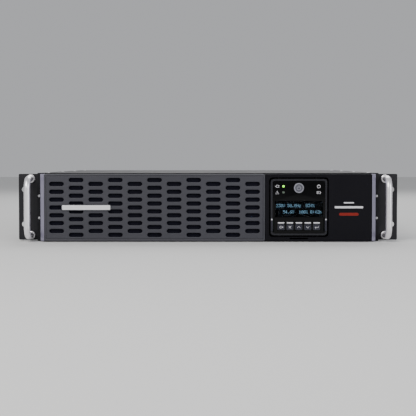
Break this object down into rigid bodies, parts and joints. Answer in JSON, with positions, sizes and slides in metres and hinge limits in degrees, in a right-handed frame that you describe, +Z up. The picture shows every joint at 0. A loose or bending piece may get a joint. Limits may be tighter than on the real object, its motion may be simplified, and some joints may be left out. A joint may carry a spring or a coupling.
{
  "type": "rackmount ups",
  "caption": "Two-unit rack power supply with battery back-up: slotted grille cover, clip-in display module, bent-rod handles, slide-out battery drawer, rear outlets and fans.",
  "frame": {"origin": "under the middle of the whole assembly's bounding box, on the plane the chassis rests on", "axes": "+X to the right seen from the front, +Y to the rear with the rear panel, +Z up; the handles and grille face -Y"},
  "size_m": [0.4826, 0.5282, 0.0865],
  "materials": {
    "powder_coat": "textured black powder coat",
    "inner_frame": "moulded black",
    "handle_metal": "bright satin",
    "cover_plastic": "charcoal, fine texture",
    "badge_metal": "brushed",
    "trim_paint": "silver grey satin",
    "fascia_plastic": "black satin",
    "lens_gloss": "polished black",
    "screen": "dark with pale blue characters",
    "board_green": "solder mask",
    "button_grey": "satin grey",
    "key_plastic": "satin",
    "zinc": "zinc plated",
    "battery_case": "moulded grey",
    "black_nylon": "moulded black",
    "thumbscrew_steel": "nickel plated",
    "fan_plastic": "moulded black",
    "guard_wire": "plated wire",
    "heatsink_metal": "extruded",
    "core_steel": "varnished laminations",
    "winding": "varnished copper winding",
    "breaker_cap": "pale cap"
  },
  "bodies": {
    "chassis": {"chassis_base": "powder_coat", "top_cover": "powder_coat", "rear_panel": "powder_coat", "front_frame": "inner_frame", "left_ear": "powder_coat", "right_ear": "powder_coat", "left_handle": "handle_metal", "right_handle": "handle_metal", "display_fascia": "fascia_plastic", "right_end_trim": "trim_paint", "battery_bay_wall": "zinc", "bay_connector": "black_nylon", "main_board": "board_green", "heatsink_1": "heatsink_metal", "heatsink_2": "heatsink_metal", "transformer_core": "core_steel", "transformer_coil": "winding", "fan_frame_outer": "fan_plastic", "fan_frame_inner": "fan_plastic", "fan_guard_outer": "guard_wire", "fan_guard_inner": "guard_wire", "power_inlet": "black_nylon", "outlet_bank_1": "black_nylon", "outlet_bank_2": "black_nylon", "battery_pack_port": "black_nylon", "breaker_1": "black_nylon", "breaker_2": "black_nylon", "network_card": "zinc", "comm_ports": "black_nylon", "ground_stud": "thumbscrew_steel"},
    "battery_drawer": {"battery_tray": "zinc", "tray_front_plate": "powder_coat", "battery_1": "battery_case", "battery_2": "battery_case", "battery_3": "battery_case", "battery_4": "battery_case", "tray_connector": "black_nylon", "tray_pull": "black_nylon"},
    "upper_thumbscrew": {"thumbscrew_upper": "thumbscrew_steel"},
    "lower_thumbscrew": {"thumbscrew_lower": "thumbscrew_steel"},
    "grille_cover": {"cover_frame": "cover_plastic", "grille_panel": "cover_plastic", "left_end_trim": "trim_paint", "badge_plate": "badge_metal"},
    "display_module": {"display_housing": "fascia_plastic", "display_lens": "lens_gloss", "lcd_panel": "screen", "display_board": "board_green"},
    "power_button": {"power_button": "button_grey"},
    "left_latch": {"left_latch": "key_plastic"},
    "right_latch": {"right_latch": "key_plastic"},
    "outer_fan_rotor": {"fan_rotor_outer": "fan_plastic"},
    "inner_fan_rotor": {"fan_rotor_inner": "fan_plastic"},
    "breaker_button_1": {"breaker_button_1": "breaker_cap"},
    "breaker_button_2": {"breaker_button_2": "breaker_cap"},
    "mute_key": {"mute_key": "key_plastic"},
    "escape_key": {"escape_key": "key_plastic"},
    "up_key": {"up_key": "key_plastic"},
    "down_key": {"down_key": "key_plastic"},
    "enter_key": {"enter_key": "key_plastic"}
  },
  "joints": [
    {"name": "battery_drawer_slide", "type": "slide", "parent": "chassis", "child": "battery_drawer", "axis": [0, -1, 0], "range_m": [0, 0.3]},
    {"name": "grille_cover_pull", "type": "slide", "parent": "battery_drawer", "child": "grille_cover", "axis": [0, -1, 0], "range_m": [0, 0.04]},
    {"name": "display_module_pull", "type": "slide", "parent": "chassis", "child": "display_module", "axis": [0, -1, 0], "range_m": [0, 0.03]},
    {"name": "power_button_press", "type": "slide", "parent": "display_module", "child": "power_button", "axis": [0, 1, 0], "range_m": [0, 0.0012], "stiffness_N_per_m": 1500},
    {"name": "mute_key_press", "type": "slide", "parent": "display_module", "child": "mute_key", "axis": [0, 1, 0], "range_m": [0, 0.0007], "stiffness_N_per_m": 1500},
    {"name": "escape_key_press", "type": "slide", "parent": "display_module", "child": "escape_key", "axis": [0, 1, 0], "range_m": [0, 0.0007], "stiffness_N_per_m": 1500},
    {"name": "up_key_press", "type": "slide", "parent": "display_module", "child": "up_key", "axis": [0, 1, 0], "range_m": [0, 0.0007], "stiffness_N_per_m": 1500},
    {"name": "down_key_press", "type": "slide", "parent": "display_module", "child": "down_key", "axis": [0, 1, 0], "range_m": [0, 0.0007], "stiffness_N_per_m": 1500},
    {"name": "enter_key_press", "type": "slide", "parent": "display_module", "child": "enter_key", "axis": [0, 1, 0], "range_m": [0, 0.0007], "stiffness_N_per_m": 1500},
    {"name": "left_latch_press", "type": "slide", "parent": "display_module", "child": "left_latch", "axis": [1, 0, 0], "range_m": [0, 0.001], "stiffness_N_per_m": 1500},
    {"name": "right_latch_press", "type": "slide", "parent": "display_module", "child": "right_latch", "axis": [-1, 0, 0], "range_m": [0, 0.001], "stiffness_N_per_m": 1500},
    {"name": "outer_fan_spin", "type": "hinge", "parent": "chassis", "child": "outer_fan_rotor", "pos_m": [0.1813, 0.2396, 0.04325], "axis": [0, 1, 0], "continuous": true},
    {"name": "inner_fan_spin", "type": "hinge", "parent": "chassis", "child": "inner_fan_rotor", "pos_m": [0.1173, 0.2396, 0.04325], "axis": [0, 1, 0], "continuous": true},
    {"name": "breaker_1_trip", "type": "slide", "parent": "chassis", "child": "breaker_button_1", "axis": [0, 1, 0], "range_m": [0, 0.003]},
    {"name": "breaker_2_trip", "type": "slide", "parent": "chassis", "child": "breaker_button_2", "axis": [0, 1, 0], "range_m": [0, 0.003]},
    {"name": "upper_thumbscrew_turn", "type": "hinge", "parent": "battery_drawer", "child": "upper_thumbscrew", "pos_m": [-0.0006, -0.2354, 0.0705], "axis": [0, 1, 0], "continuous": true},
    {"name": "lower_thumbscrew_turn", "type": "hinge", "parent": "battery_drawer", "child": "lower_thumbscrew", "pos_m": [-0.0006, -0.2354, 0.016], "axis": [0, 1, 0], "continuous": true}
  ]
}
